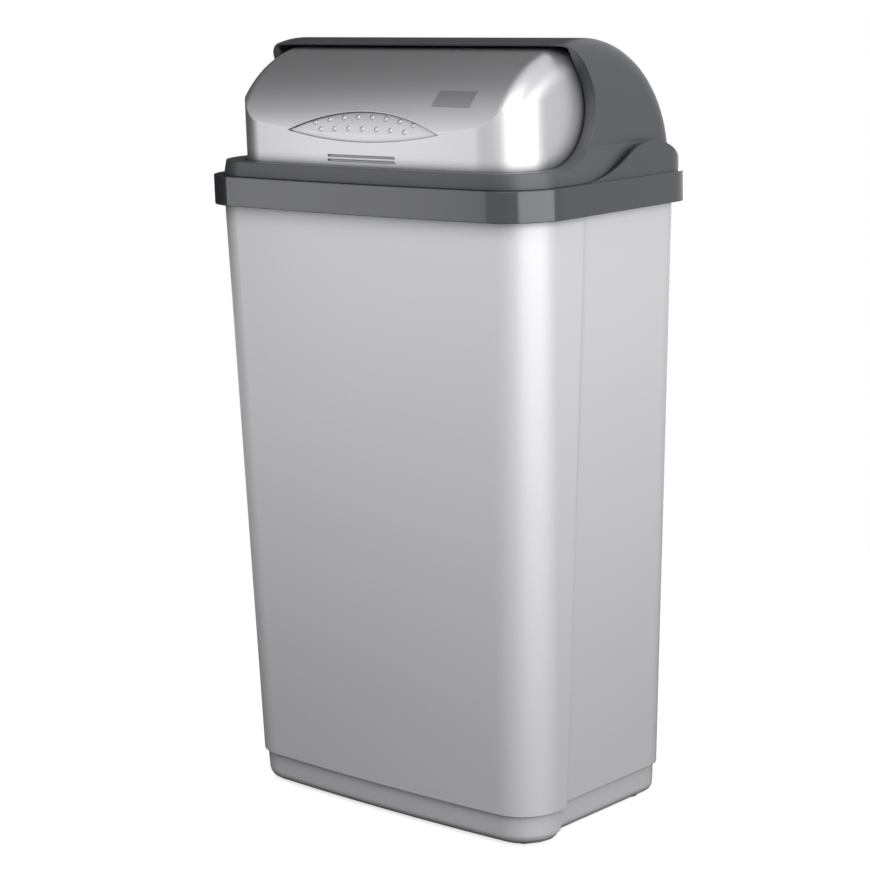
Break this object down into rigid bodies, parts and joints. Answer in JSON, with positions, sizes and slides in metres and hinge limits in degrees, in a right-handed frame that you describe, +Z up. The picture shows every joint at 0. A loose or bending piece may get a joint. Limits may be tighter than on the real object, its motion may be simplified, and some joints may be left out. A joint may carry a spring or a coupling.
{
  "type": "roll-top kitchen waste bin",
  "caption": "Tall rounded kitchen waste bin with a tapered bucket, a rim ring, a tip-back hood and a roll-back flap over the mouth.",
  "frame": {"origin": "on the floor, under the middle of the rim ring", "axes": "+Z up, +X to the viewer's right when facing the front, the front faces -Y"},
  "size_m": [0.388, 0.23, 0.675],
  "materials": {
    "silver_bucket": "metallic silver moulded plastic",
    "silver_flap": "metallic silver moulded plastic, a little glossier",
    "gloss_grey": "glossy dark grey moulded plastic",
    "satin_grey": "satin dark grey moulded plastic",
    "pin_plastic": "plain dark plastic",
    "foot_plastic": "pale moulded plastic"
  },
  "bodies": {
    "bucket": {"bucket": "silver_bucket", "bucket_feet": "foot_plastic"},
    "ring": {"rim_ring": "gloss_grey"},
    "hood": {"hood": "satin_grey", "left_pivot_pin": "pin_plastic", "right_pivot_pin": "pin_plastic", "left_hinge_pin": "pin_plastic", "right_hinge_pin": "pin_plastic"},
    "flap": {"roller_flap": "silver_flap"}
  },
  "joints": [
    {"name": "ring_lift", "type": "slide", "parent": "bucket", "child": "ring", "axis": [0, 0, 1], "range_m": [0, 0.15]},
    {"name": "hood_tip", "type": "hinge", "parent": "ring", "child": "hood", "pos_m": [0, 0.084, 0.5755], "axis": [-1, 0, 0], "range_deg": [0, 75]},
    {"name": "flap_roll", "type": "hinge", "parent": "hood", "child": "flap", "pos_m": [0, 0, 0.569], "axis": [-1, 0, 0], "range_deg": [0, 75]}
  ]
}
